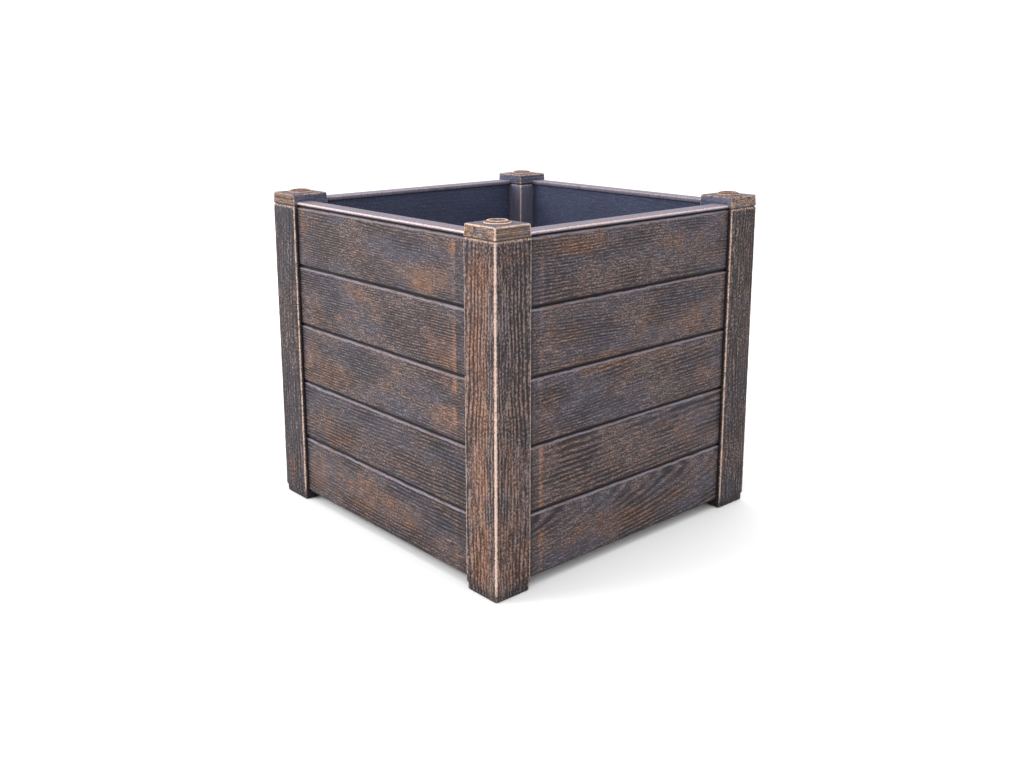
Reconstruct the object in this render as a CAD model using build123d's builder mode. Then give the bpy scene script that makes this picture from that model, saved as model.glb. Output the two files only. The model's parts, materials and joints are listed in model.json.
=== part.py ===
from build123d import *
import os
from math import atan, degrees

os.makedirs("parts", exist_ok=True)

# A square planter box. Four slotted corner posts take the ends of five tongued boards on each wall.
# A ribbed rail closes the top of each wall, a bolted cap with a round button closes each post and
# locks the rails down, and a slatted floor lies on ledgers and one bearer.
# Millimetres, +Z up, front wall facing -Y, origin on the ground under the middle of the box.

# Overall sizes: over the posts, and from the ground to the flat top of a cap
width = 600
depth = 600
height = 560

# Corner posts
post_size = 70
post_edge = 3  # rounding of the upright corners and of the foot
seam_chamfer = 2  # half of the V line between a post and its cap

# Boards of the walls
board_count = 5  # on each wall
board_thickness = 28
board_recess = 7  # board face behind the post faces
ground_gap = 15  # ground to the lowest board
bevel_height = 4.5  # half of the V line between two boards
bevel_depth = 4
slot_depth = 13  # how far the slot goes into a post
slot_side_play = 0.25  # on each side of a board
slot_end_play = 1  # beyond the end of a board

# Tongues, and the rib of a rail, which fits the same groove
tongue_thickness = 9
tongue_height = 8
tongue_side_play = 0.25  # on each side of a tongue
tongue_end_play = 1  # under a tongue

# Top rails
rail_thickness = 7
rail_overhang = 3  # past the inner face of the boards
rail_bevel_height = 3  # upper half of the V line between a rail and its top board
rail_outer_round = 3.5
rail_inner_round = 2
rail_end_play = 0.5  # to the post cap

# Post caps and their buttons
cap_height = 20
cap_lean = 0.8  # each side leans in by this much towards the top
cap_round = 1.5
button_diameter = 40
button_edge = 1.2  # upright edge of the button
button_height = 4.6
button_ring_diameter = 30  # outside of the raised ring's crest
button_crest = 2  # width of that crest
button_dish_slope = 1
button_dish_depth = 1
button_spigot_height = 3.6
button_spigot_play = 0.2  # on each side of the spigot

# Cap bolts, washers and the threaded inserts in the posts
bolt_diameter = 8
bolt_length = 40
bolt_head_diameter = 13
bolt_head_height = 7
bolt_head_play = 1.8  # under the button
bolt_socket = 6  # across the flats
bolt_socket_depth = 4
bolt_hole_diameter = 9
washer_diameter = 21
washer_thickness = 1.6
washer_play = 0.7  # on each side of a washer, in its pocket
insert_diameter = 14
insert_length = 25
bolt_end_play = 7  # under the bolt, in its post

# Ledgers and bearer that carry the floor
ledger_thickness = 25
ledger_height = 30
ledger_lift = 20  # above the bottom edge of the boards
ledger_end_play = 0.5  # to the posts or the next ledger
bearer_width = 40
bearer_play = 0.5  # in its notches, and to the walls

# Floor slats
slat_count = 5  # between the posts, with one narrow slat more beside each of two walls
slat_thickness = 18
slat_edge = 1.5
slat_end_play = 0.5  # to the walls and posts
drain_gap = 6

# Wood screws with countersunk heads and a square drive
screw_diameter = 4.5
screw_head_diameter = 9
screw_tip = 5
screw_hole_play = 0.1  # on each side of the thread
screw_drive = 3
screw_drive_depth = 2
ledger_screw_bite = 18  # into a board
floor_screw_bite = 20  # into a ledger or the bearer
floor_screw_spacing = 44  # across a slat

post_height = height - cap_height
board_height = (post_height - ground_gap) / board_count
wall_inside = board_recess + board_thickness  # inner face of the boards, in from the post faces
tongue_middle = (board_recess + bevel_depth + wall_inside) / 2
slot_reach = slot_depth - slot_end_play  # how far a board goes into a post
pocket_diameter = washer_diameter + 2 * washer_play
pocket_depth = washer_thickness + bolt_head_height + bolt_head_play + button_spigot_height
pocket_floor = height - pocket_depth
bolt_seat = pocket_floor + washer_thickness
bolt_tip = bolt_seat - bolt_length
ledger_bottom = ground_gap + ledger_lift
ledger_top = ledger_bottom + ledger_height
screw_head_height = (screw_head_diameter - screw_diameter) / 2
cap_taper = degrees(atan(cap_lean / cap_height))
clear_width = width - 2 * post_size
clear_depth = depth - 2 * post_size
up = Vector(0, 0, 1)

# Each wall: the way along it, left to right from outside, its length over the posts, and the
# distance between its own post faces and those of the opposite wall
walls = {
    "front": (Vector(1, 0, 0), width, depth),
    "right": (Vector(0, 1, 0), depth, width),
    "back": (Vector(-1, 0, 0), width, depth),
    "left": (Vector(0, -1, 0), depth, width),
}

# Each corner: its side in X and Y, the wall that ends there and the wall that starts there
corners = {
    "front_right": (1, -1, "front", "right"),
    "back_right": (1, 1, "right", "back"),
    "back_left": (-1, 1, "back", "left"),
    "front_left": (-1, -1, "left", "front"),
}


def corner_centre(corner):
    side_x, side_y = corners[corner][:2]
    return side_x * (width - post_size) / 2, side_y * (depth - post_size) / 2


def clear_length(wall):
    # between the two posts of a wall
    return walls[wall][1] - 2 * post_size


def section_plane(wall, start):
    # across a wall: X runs in from the post faces, Y runs up, and the plane faces along the wall
    along, _, distance = walls[wall]
    inward = up.cross(along)
    return Plane(origin=along * start - inward * (distance / 2), x_dir=inward, z_dir=along)


def ledger_face_plane(wall):
    # on the free face of a ledger at its middle: X runs along the wall and the plane faces outwards
    along, _, distance = walls[wall]
    inward = up.cross(along)
    reach = distance / 2 - wall_inside - ledger_thickness
    middle = up * ((ledger_bottom + ledger_top) / 2)
    return Plane(origin=middle - inward * reach, x_dir=along, z_dir=-inward)


def ledger_screw_places(wall):
    # one screw at each gap between the slats, and the same number along the other walls
    pitch = clear_length(wall) / slat_count
    return GridLocations(pitch, pitch, slat_count - 1, 1)


def wood_screw(length):
    # at each current place, with its head flush there and its point towards +Z
    shank = length - screw_tip
    radius = screw_diameter / 2
    at_end = (Align.CENTER, Align.CENTER, Align.MIN)
    Cylinder(radius, shank, align=at_end)
    Cone(screw_head_diameter / 2, radius, screw_head_height, align=at_end)
    with Locations((0, 0, shank)):
        Cone(radius, radius / 4, screw_tip, align=at_end)
    Box(screw_drive, screw_drive, screw_drive_depth, align=at_end, mode=Mode.SUBTRACT)


def screw_hole(depth, countersunk):
    # at each current place, open there and going towards +Z
    radius = screw_diameter / 2 + screw_hole_play
    at_end = (Align.CENTER, Align.CENTER, Align.MIN)
    Cylinder(radius, depth, align=at_end, mode=Mode.SUBTRACT)
    if countersunk:
        head = screw_head_diameter / 2 + screw_hole_play
        Cone(head, radius, screw_head_height, align=at_end, mode=Mode.SUBTRACT)


def save(piece, name):
    piece.label = name
    export_step(piece, f"parts/{name}.step")


# ---- corner posts ----

def make_post(corner):
    centre_x, centre_y = corner_centre(corner)
    ending, starting = corners[corner][2:]
    slots = (
        (ending, clear_length(ending) / 2, slot_depth),
        (starting, -clear_length(starting) / 2, -slot_depth),
    )
    with BuildPart() as post:
        with BuildSketch():
            with Locations((centre_x, centre_y)):
                Rectangle(post_size, post_size)
        extrude(amount=post_height)
        fillet(post.edges().filter_by(Axis.Z) + post.edges().group_by(Axis.Z)[0], post_edge)
        chamfer(post.faces().sort_by(Axis.Z)[-1].edges(), seam_chamfer)
        for wall, start, run in slots:
            with BuildSketch(section_plane(wall, start)):
                with Locations((board_recess + board_thickness / 2, ground_gap)):
                    Rectangle(
                        board_thickness + 2 * slot_side_play,
                        post_height - ground_gap,
                        align=(Align.CENTER, Align.MIN),
                    )
            extrude(amount=run, mode=Mode.SUBTRACT)
        with Locations((centre_x, centre_y, post_height)):
            Hole(insert_diameter / 2, post_height - bolt_tip + bolt_end_play)
    return post.part


for corner in corners:
    save(make_post(corner), f"post_{corner}")


# ---- boards ----

def make_board(wall, index):
    bottom = ground_gap + index * board_height
    top = bottom + board_height
    bevel_back = board_recess + bevel_depth
    groove = tongue_thickness / 2 + tongue_side_play
    groove_bottom = top - tongue_height - tongue_end_play
    half = clear_length(wall) / 2 + slot_reach
    with BuildPart() as board:
        with BuildSketch(section_plane(wall, -half)):
            with BuildLine():
                Polyline(
                    (bevel_back, bottom),
                    (board_recess, bottom + bevel_height),
                    (board_recess, top - bevel_height),
                    (bevel_back, top),
                    (tongue_middle - groove, top),
                    (tongue_middle - groove, groove_bottom),
                    (tongue_middle + groove, groove_bottom),
                    (tongue_middle + groove, top),
                    (wall_inside, top),
                    (wall_inside, bottom),
                    close=True,
                )
            make_face()
            if index > 0:
                with Locations((tongue_middle, bottom)):
                    Rectangle(tongue_thickness, tongue_height, align=(Align.CENTER, Align.MAX))
        extrude(amount=2 * half)
        if index == 0:
            with Locations(ledger_face_plane(wall).offset(ledger_thickness)):
                with ledger_screw_places(wall):
                    screw_hole(ledger_screw_bite, countersunk=False)
    return board.part


for wall in walls:
    for index in range(board_count):
        save(make_board(wall, index), f"board_{wall}_{index + 1}")


# ---- top rails ----

def make_rail(wall):
    half = clear_length(wall) / 2 - rail_end_play
    rib_half = clear_length(wall) / 2 + slot_reach
    top = post_height + rail_thickness
    inside = wall_inside + rail_overhang
    face_foot = post_height + rail_bevel_height
    outer_round = min(rail_outer_round, top - face_foot)
    inner_round = min(rail_inner_round, rail_thickness)
    with BuildPart() as rail:
        with BuildSketch(section_plane(wall, -half)):
            with BuildLine():
                outer = CenterArc((board_recess + outer_round, top - outer_round), outer_round, 90, 90)
                inner = CenterArc((inside - inner_round, top - inner_round), inner_round, 0, 90)
                Line(inner @ 1, outer @ 0)
                Polyline(
                    outer @ 1,
                    (board_recess, face_foot),
                    (board_recess + bevel_depth, post_height),
                    (inside, post_height),
                    inner @ 0,
                )
            make_face()
        extrude(amount=2 * half)
        with BuildSketch(section_plane(wall, -rib_half)):
            with Locations((tongue_middle, post_height)):
                Rectangle(tongue_thickness, tongue_height, align=(Align.CENTER, Align.MAX))
        extrude(amount=2 * rib_half)
    return rail.part


for wall in walls:
    save(make_rail(wall), f"rail_{wall}")


# ---- post caps and buttons ----

def make_cap(corner):
    centre_x, centre_y = corner_centre(corner)
    with BuildPart() as cap:
        with BuildSketch(Plane.XY.offset(post_height)):
            with Locations((centre_x, centre_y)):
                RectangleRounded(post_size, post_size, post_edge)
        extrude(amount=cap_height, taper=cap_taper)
        chamfer(cap.faces().sort_by(Axis.Z)[0].edges(), seam_chamfer)
        fillet(cap.faces().sort_by(Axis.Z)[-1].edges(), cap_round)
        with Locations((centre_x, centre_y, height)):
            CounterBoreHole(bolt_hole_diameter / 2, pocket_diameter / 2, pocket_depth)
    return cap.part


def make_button(corner):
    centre_x, centre_y = corner_centre(corner)
    spigot = pocket_diameter / 2 - button_spigot_play
    dish_floor = button_height - button_dish_depth
    crest_outside = button_ring_diameter / 2
    crest_inside = crest_outside - button_crest
    with BuildPart() as button:
        with BuildSketch(Plane(origin=(centre_x, centre_y, height), x_dir=(1, 0, 0), z_dir=(0, -1, 0))):
            with BuildLine():
                Polyline(
                    (0, -button_spigot_height),
                    (spigot, -button_spigot_height),
                    (spigot, 0),
                    (button_diameter / 2, 0),
                    (button_diameter / 2, button_edge),
                    (crest_outside, button_height),
                    (crest_inside, button_height),
                    (crest_inside - button_dish_slope, dish_floor),
                    (0, dish_floor),
                    close=True,
                )
            make_face()
        revolve(axis=Axis((centre_x, centre_y, 0), (0, 0, 1)))
    return button.part


for corner in corners:
    save(make_cap(corner), f"cap_{corner}")
    save(make_button(corner), f"button_{corner}")


# ---- cap bolts, washers and inserts ----

centres = [corner_centre(corner) for corner in corners]

with BuildPart() as cap_bolts:
    with BuildSketch(Plane.XY.offset(bolt_seat)):
        with Locations(*centres):
            Circle(bolt_diameter / 2)
    extrude(amount=-bolt_length)
    with BuildSketch(Plane.XY.offset(bolt_seat)):
        with Locations(*centres):
            Circle(bolt_head_diameter / 2)
    extrude(amount=bolt_head_height)
    with BuildSketch(Plane.XY.offset(bolt_seat + bolt_head_height)):
        with Locations(*centres):
            RegularPolygon(bolt_socket / 2, 6, major_radius=False)
    extrude(amount=-bolt_socket_depth, mode=Mode.SUBTRACT)
save(cap_bolts.part, "cap_bolts")

with BuildPart() as cap_washers:
    with BuildSketch(Plane.XY.offset(pocket_floor)):
        with Locations(*centres):
            Circle(washer_diameter / 2)
            Circle(bolt_hole_diameter / 2, mode=Mode.SUBTRACT)
    extrude(amount=washer_thickness)
save(cap_washers.part, "cap_washers")

with BuildPart() as cap_inserts:
    with BuildSketch(Plane.XY.offset(post_height)):
        with Locations(*centres):
            Circle(insert_diameter / 2)
            Circle(bolt_diameter / 2, mode=Mode.SUBTRACT)
    extrude(amount=-insert_length)
save(cap_inserts.part, "cap_inserts")


# ---- floor bearer and ledgers ----

lap_height = ledger_height / 2  # the bearer's ends lie this deep in the front and back ledgers
bearer_run = depth - 2 * wall_inside - 2 * bearer_play
bearer_body = depth - 2 * wall_inside - 2 * ledger_thickness - 2 * bearer_play

with BuildPart() as floor_bearer:
    with BuildSketch(Plane.XY.offset(ledger_top)):
        Rectangle(bearer_width, bearer_run)
    extrude(amount=-lap_height)
    with BuildSketch(Plane.XY.offset(ledger_bottom)):
        Rectangle(bearer_width, bearer_body)
    extrude(amount=lap_height)
    with Locations(Plane(origin=(0, 0, ledger_top), z_dir=(0, 0, -1))):
        with GridLocations(bearer_width / 2, clear_depth / slat_count, 1, slat_count):
            with GridLocations(0, floor_screw_spacing, 1, 2):
                screw_hole(floor_screw_bite, countersunk=False)
save(floor_bearer.part, "floor_bearer")

end_x = width / 2 - wall_inside - ledger_thickness / 2  # middle of the ledgers on the side walls
end_y = depth / 2 - wall_inside - ledger_thickness / 2  # middle of the front and back ledgers
slat_pitch = clear_depth / slat_count
edge_pitch = clear_width / slat_count
edge_steps = [step for step in range(-(slat_count // 2), slat_count // 2 + 1) if step != 0]


def ledger_top_screws(wall):
    # where the floor is screwed down into a ledger, on its upper side
    if wall in ("front", "back"):
        side = -1 if wall == "front" else 1
        return [(step * edge_pitch, side * end_y) for step in edge_steps]
    side = 1 if wall == "right" else -1
    middles = [(index - (slat_count - 1) / 2) * slat_pitch for index in range(slat_count)]
    half = floor_screw_spacing / 2
    return [(side * end_x, middle + offset) for middle in middles for offset in (-half, half)]


def downward(places, level):
    # locations at a level, each facing down
    return [Location(Plane(origin=(x, y, level), x_dir=(1, 0, 0), z_dir=(0, 0, -1))) for x, y in places]


def make_ledger(wall):
    # it ends clear of the posts, and of the ledgers on the two walls beside it
    corner_reach = walls[wall][1] / 2 - wall_inside - ledger_thickness
    half = min(clear_length(wall) / 2, corner_reach) - ledger_end_play
    with BuildPart() as ledger:
        with BuildSketch(section_plane(wall, -half)):
            with Locations((wall_inside, ledger_bottom)):
                Rectangle(ledger_thickness, ledger_height, align=(Align.MIN, Align.MIN))
        extrude(amount=2 * half)
        if wall in ("front", "back"):
            with BuildSketch(section_plane(wall, -bearer_width / 2 - bearer_play)):
                with Locations((wall_inside, ledger_top)):
                    Rectangle(ledger_thickness, lap_height, align=(Align.MIN, Align.MAX))
            extrude(amount=bearer_width + 2 * bearer_play, mode=Mode.SUBTRACT)
        with Locations(ledger_face_plane(wall)):
            with ledger_screw_places(wall):
                screw_hole(ledger_thickness, countersunk=True)
        with Locations(*downward(ledger_top_screws(wall), ledger_top)):
            screw_hole(floor_screw_bite, countersunk=False)
    return ledger.part


for wall in walls:
    save(make_ledger(wall), f"ledger_{wall}")

with BuildPart() as ledger_screws:
    for wall in walls:
        with Locations(ledger_face_plane(wall)):
            with ledger_screw_places(wall):
                wood_screw(ledger_thickness + ledger_screw_bite)
save(ledger_screws.part, "ledger_screws")


# ---- floor slats ----

floor_top = ledger_top + slat_thickness
wide_slat = slat_pitch - drain_gap
wide_slat_length = width - 2 * wall_inside - 2 * slat_end_play
narrow_slat = post_size - wall_inside - drain_gap
narrow_slat_length = clear_width - 2 * slat_end_play
narrow_slat_y = (clear_depth / 2 + depth / 2 - wall_inside) / 2


def make_slat(middle_y, length, breadth, screws):
    with BuildPart() as slat:
        with BuildSketch(Plane.XY.offset(ledger_top)):
            with Locations((0, middle_y)):
                Rectangle(length, breadth)
        extrude(amount=slat_thickness)
        chamfer(slat.edges().filter_by(Axis.X), slat_edge)
        with Locations(*downward(screws, floor_top)):
            screw_hole(slat_thickness, countersunk=True)
    return slat.part


floor_screw_places = []
half_spacing = floor_screw_spacing / 2
for index in range(slat_count):
    middle_y = (index - (slat_count - 1) / 2) * slat_pitch
    screws = [(x, middle_y + y) for x in (-end_x, 0, end_x) for y in (-half_spacing, half_spacing)]
    floor_screw_places += screws
    save(make_slat(middle_y, wide_slat_length, wide_slat, screws), f"floor_slat_{index + 1}")

for wall, side in (("front", -1), ("back", 1)):
    screws = ledger_top_screws(wall)
    floor_screw_places += screws
    slat = make_slat(side * narrow_slat_y, narrow_slat_length, narrow_slat, screws)
    save(slat, f"floor_edge_slat_{wall}")

with BuildPart() as floor_screws:
    with Locations(*downward(floor_screw_places, floor_top)):
        wood_screw(slat_thickness + floor_screw_bite)
save(floor_screws.part, "floor_screws")
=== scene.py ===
import bpy
import bmesh
import json
import math
import random
from mathutils import Matrix, Vector, noise


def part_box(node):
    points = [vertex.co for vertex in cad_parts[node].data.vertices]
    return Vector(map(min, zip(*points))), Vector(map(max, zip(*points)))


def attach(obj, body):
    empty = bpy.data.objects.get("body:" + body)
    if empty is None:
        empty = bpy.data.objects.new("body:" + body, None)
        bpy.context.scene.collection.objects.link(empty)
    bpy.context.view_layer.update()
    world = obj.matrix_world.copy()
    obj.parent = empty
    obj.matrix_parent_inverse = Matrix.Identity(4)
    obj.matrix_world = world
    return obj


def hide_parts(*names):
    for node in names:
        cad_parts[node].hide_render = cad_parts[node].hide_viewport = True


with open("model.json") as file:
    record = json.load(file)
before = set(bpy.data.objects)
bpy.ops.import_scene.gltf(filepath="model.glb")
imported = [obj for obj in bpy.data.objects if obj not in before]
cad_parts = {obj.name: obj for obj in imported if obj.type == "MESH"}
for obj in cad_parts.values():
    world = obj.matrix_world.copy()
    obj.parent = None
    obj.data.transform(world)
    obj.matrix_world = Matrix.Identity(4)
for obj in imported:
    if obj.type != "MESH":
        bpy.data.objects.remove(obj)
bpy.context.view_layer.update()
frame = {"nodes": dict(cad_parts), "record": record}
nodes = frame["nodes"]
print("frame loaded")

cameraSet = dict(
    azimuth=48.15, elevation=12.22, distance=1.911, aimHeight=0.365,
    focal=37.6, sensor=36.0, shift=-0.08,
)
floorSet = dict(size=60.0, colour=(0.94, 0.94, 0.94), roughness=0.9)
worldSet = dict(colour=(1.0, 1.0, 1.0), strength=1.25)
lightAim = Vector((0, 0, 0.3))
lightSet = dict(
    key=dict(place=(-2.0, -3.6, 2.6), size=2.6, power=130.0),
    top=dict(place=(0.3, 0.2, 3.6), size=3.0, power=30.0),
)


def addObject(name, data):
    thing = bpy.data.objects.new(name, data)
    bpy.context.collection.objects.link(thing)
    return thing


def aimAlong(thing, direction):
    thing.rotation_mode = "QUATERNION"
    thing.rotation_quaternion = direction.to_track_quat("-Z", "Y")


def meshFrom(bm, name):
    mesh = bpy.data.meshes.new(name)
    bm.to_mesh(mesh)
    bm.free()
    return mesh


def newMaterial(name):
    material = bpy.data.materials.new(name)
    material.use_nodes = True
    return material, material.node_tree, material.node_tree.nodes["Principled BSDF"]


def makeCamera(spec):
    azimuth, elevation = math.radians(spec["azimuth"]), math.radians(spec["elevation"])
    back = Vector((
        math.sin(azimuth) * math.cos(elevation),
        -math.cos(azimuth) * math.cos(elevation),
        math.sin(elevation),
    ))
    data = bpy.data.cameras.new("studioCamera")
    data.lens, data.sensor_width, data.shift_y = spec["focal"], spec["sensor"], spec["shift"]
    camera = addObject("studioCamera", data)
    camera.location = Vector((0, 0, spec["aimHeight"])) + back * spec["distance"]
    aimAlong(camera, -back)
    bpy.context.scene.camera = camera


def makeFloor(spec):
    bm = bmesh.new()
    bmesh.ops.create_grid(bm, x_segments=1, y_segments=1, size=spec["size"] / 2)
    floor = addObject("studioFloor", meshFrom(bm, "studioFloor"))
    material, _, shader = newMaterial("studioFloor")
    shader.inputs["Base Color"].default_value = (*spec["colour"], 1)
    shader.inputs["Roughness"].default_value = spec["roughness"]
    floor.data.materials.append(material)


def makeLight(name, spec):
    data = bpy.data.lights.new(name, "AREA")
    data.shape, data.size, data.energy = "DISK", spec["size"], spec["power"]
    light = addObject(name, data)
    light.location = spec["place"]
    aimAlong(light, lightAim - light.location)


def makeWorld(spec):
    world = bpy.data.worlds.new("studio")
    bpy.context.scene.world = world
    world.use_nodes = True
    background = world.node_tree.nodes["Background"]
    background.inputs["Color"].default_value = (*spec["colour"], 1)
    background.inputs["Strength"].default_value = spec["strength"]


makeCamera(cameraSet)
makeFloor(floorSet)
makeWorld(worldSet)
for name, spec in lightSet.items():
    makeLight(name, spec)
bpy.context.scene.view_settings.view_transform = "Standard"
print("studio ready")


def smoothStep(low, high, value):
    t = min(max((value - low) / (high - low), 0.0), 1.0)
    return t * t * (3 - 2 * t)


def drift(x, y, seed):  # smooth noise, about -1 to 1
    return noise.noise(Vector((x, y, seed)))


def linear(red, green, blue):  # a screen colour, each part 0 to 255, as the linear colour a shader takes
    parts = [((c / 255 + 0.055) / 1.055) ** 2.4 if c > 10 else c / 255 / 12.92 for c in (red, green, blue)]
    return (*parts, 1.0)


def vertsOf(geometry):
    return [part for part in geometry if isinstance(part, bmesh.types.BMVert)]


def growRing(bm, edges):
    # extrudes a ring of edges on the spot, and gives the new ring and its vertices
    made = bmesh.ops.extrude_edge_only(bm, edges=edges)["geom"]
    verts = vertsOf(made)
    fresh = set(verts)
    newEdges = [part for part in made if isinstance(part, bmesh.types.BMEdge)]
    return [edge for edge in newEdges if edge.verts[0] in fresh and edge.verts[1] in fresh], verts


def raiseRing(bm, edges, rise, steps):
    # draws a ring of edges up or down in equal steps, and gives the last ring
    for _ in range(steps):
        edges, verts = growRing(bm, edges)
        bmesh.ops.translate(bm, verts=verts, vec=(0, 0, rise / steps))
    return edges


# each vertex of a finished piece carries how it was brushed, rubbed and worn, with painted shade in the
# shade layer and painted highlight in the pale layer and on some worn edges
skinLayers = ("relief", "rub", "wear", "pale", "inside", "shade")


class Skin:
    def __init__(self, bm):
        self.layers = {name: bm.verts.layers.float.new(name) for name in skinLayers}
        self.grain = bm.verts.layers.float_vector.new("grain")

    def paint(self, vert, grain, **values):
        vert[self.grain] = grain
        for name in skinLayers:
            vert[self.layers[name]] = values.get(name, 0.0)


def newPiece(name, bm, material, node, sharpAngle=50):
    bmesh.ops.recalc_face_normals(bm, faces=bm.faces)
    mesh = meshFrom(bm, name)
    mesh.shade_smooth()
    mesh.set_sharp_from_angle(angle=math.radians(sharpAngle))
    mesh.materials.append(material)
    piece = addObject(name, mesh)
    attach(piece, "root")
    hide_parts(node)
    return piece


# where the heart of the tree lay behind a piece, how its rings wandered and how the wood was brushed
def makeTimber(seed, spec):
    pick = random.Random(seed)
    side = pick.choice((-1, 1))
    return dict(
        spec,
        seed=seed * 7.31,
        heartDepth=pick.uniform(*spec["heartDepth"]),
        heartSide=side * pick.uniform(*spec["heartSide"]),
        lean=pick.uniform(-spec["lean"], spec["lean"]),
    )


def wander(timber, along, across):  # slow and quick bends of the rings along a piece
    seed = timber["seed"]
    sway = timber["sway"] * drift(along * timber["swayRate"], across * 3, seed)
    ripple = timber["ripple"] * drift(along * timber["rippleRate"], across * 25, seed + 3.3)
    return sway, ripple


def ringRelief(timber, along, across, depth):
    # 0 in the soft wood that brushing takes out, 1 on the hard ridges
    sway, ripple = wander(timber, along, across)
    away = timber["heartDepth"] + depth + timber["lean"] * along
    radius = math.hypot(away, across - timber["heartSide"] + sway + ripple)
    phase = radius / timber["ring"] + 0.3 * drift(along * 20, across * 120, timber["seed"] + 9.1)
    return brushed(timber, phase, along, across)


def brushed(timber, phase, along, across):
    seed = timber["seed"]
    wave = phase - math.floor(phase)
    ridge = smoothStep(0.0, timber["groove"], min(wave, 1 - wave))
    patchy = smoothStep(-0.25, 0.45, drift(along * 11, across * 26, seed + 5.7))
    fade = timber["weak"] + (1 - timber["weak"]) * patchy
    fibre = drift(along * 50, across * 430, seed + 1.9) + 0.8 * drift(along * 190, across * 480, seed + 6.1)
    return min(max(0.8 - timber["deep"] * (1 - ridge) * fade + timber["fibre"] * fibre, 0.0), 1.0)


# valley is the stain in the hollows and also the colour of painted shade; pale is a grey-violet used as
# painted highlight on upward-facing bevels and tops, and as a lighter tone on the inner post faces; worn is
# the bare-edge colour, also used as painted highlight on groove lips and the posts' top chamfers
woodColours = dict(
    valley=linear(26, 21, 24),
    hollow=linear(50, 30, 19),
    middle=linear(55, 47, 49),
    ridge=linear(97, 85, 87),
    copper=linear(132, 92, 64),
    cool=linear(50, 51, 62),
    worn=linear(206, 177, 162),
    pale=linear(124, 116, 128),
    slate=linear(88, 96, 124),
    deep=linear(54, 59, 81),
)
toneTints = dict(chill=(0.87, 1.0, 1.2, 1), warm=(1.13, 0.98, 0.82, 1))  # the stain drifts between these
# noises stretched along and across the grain, or even ones of one scale; Fibre takes each wood's own stretch
fibreStretch = dict(Along=60.0, Across=560.0)
fibreNoises = dict(
    Fibre=dict(detail=3.0, roughness=0.55),
    Weave=dict(stretch=(250.0, 500.0, 1.0), detail=2.0, roughness=0.6),
    Grit=dict(scale=420.0, detail=3.0, roughness=0.6),
    Patch=dict(scale=30.0, detail=4.0, roughness=0.62),
    Cloud=dict(stretch=(6.0, 16.0, 1.37), detail=3.0, roughness=0.55),
)
# how strongly each noise and colour shows, and, in pairs, the levels between which it comes in
finishSet = dict(
    fibre=1.8, weave=2.6, calm=(-0.1, 0.75), bareRelief=0.6, rubPatch=1.2,
    chill=(0.48, 0.66), chillAmount=0.7, copperInMiddle=0.35, copperOnCrest=0.75, brownInHollow=0.9,
    outOfHollow=(0.0, 0.55), ontoCrest=(0.45, 1.0),
    tint=(-0.2, 0.2), tintPatch=0.3, tintCloud=1.45, tintGrit=0.5, dry=(0.8, 1.15), dryAmount=0.26,
    paleSheen=(0.45, 0.65), paleSheenAmount=0.7, paleRidge=(-0.3, 0.9),
    fleck=1.4, bare=(0.25, 0.85), wearFrom=(0.0, 0.3), lining=(0.1, 1.1),
    shine=(0.4, 1.0), shineAmount=0.5, roughness=0.68, smoother=0.22, roughGrit=0.2, metal=0.25,
    gritHeight=0.4,
)
woodShader = dict(specular=0.3, bump=0.5, bumpDistance=0.0006)


def addNode(tree, kind, sockets=None, **settings):
    node = tree.nodes.new(kind)
    for name, value in settings.items():
        setattr(node, name, value)
    for name, value in (sockets or {}).items():
        feed(tree, node.inputs[name], value)
    return node


def feed(tree, socket, value):  # a link where the value is a socket, otherwise a plain setting
    if isinstance(value, bpy.types.NodeSocket):
        tree.links.new(value, socket)
    else:
        socket.default_value = value


def newGroup(name, inputs, outputs):
    tree = bpy.data.node_groups.new(name, "ShaderNodeTree")
    for socketName, kind, default in inputs:
        socket = tree.interface.new_socket(socketName, in_out="INPUT", socket_type=kind)
        socket.default_value = default
    for socketName, kind in outputs:
        tree.interface.new_socket(socketName, in_out="OUTPUT", socket_type=kind)
    return tree, tree.nodes.new("NodeGroupInput"), tree.nodes.new("NodeGroupOutput")


def mixColour(tree, factor, first, second, blend="MIX"):
    node = tree.nodes.new("ShaderNodeMix")
    node.data_type, node.blend_type = "RGBA", blend
    for index, value in ((0, factor), (6, first), (7, second)):
        feed(tree, node.inputs[index], value)
    return node.outputs[2]


def mathNode(tree, operation, first, second, clamp=False):
    node = tree.nodes.new("ShaderNodeMath")
    node.operation, node.use_clamp = operation, clamp
    feed(tree, node.inputs[0], first)
    feed(tree, node.inputs[1], second)
    return node.outputs[0]


def plus(tree, first, second, clamp=False):
    return mathNode(tree, "ADD", first, second, clamp)


def minus(tree, first, second):
    return mathNode(tree, "SUBTRACT", first, second)


def times(tree, first, second):
    return mathNode(tree, "MULTIPLY", first, second)


def centred(tree, value, amount):  # a noise value made to swing about nothing
    return times(tree, minus(tree, value, 0.5), amount)


def between(tree, value, low, high):  # 0 below low, 1 above high, smooth on the way
    sockets = {"Value": value, "From Min": low, "From Max": high}
    return addNode(tree, "ShaderNodeMapRange", sockets, interpolation_type="SMOOTHSTEP").outputs["Result"]


def readLayer(tree, name):
    return addNode(tree, "ShaderNodeAttribute", attribute_name=name).outputs["Fac"]


def noiseNode(tree, place, scale, detail, **others):
    sockets = {"Vector": place, "Scale": scale, "Detail": detail}
    sockets.update({name.capitalize(): value for name, value in others.items()})
    return addNode(tree, "ShaderNodeTexNoise", sockets).outputs["Fac"]


def bumpInto(tree, shader, height, strength, distance):
    bump = addNode(tree, "ShaderNodeBump", {"Height": height, "Strength": strength, "Distance": distance})
    tree.links.new(bump.outputs[0], shader.inputs["Normal"])


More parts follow.
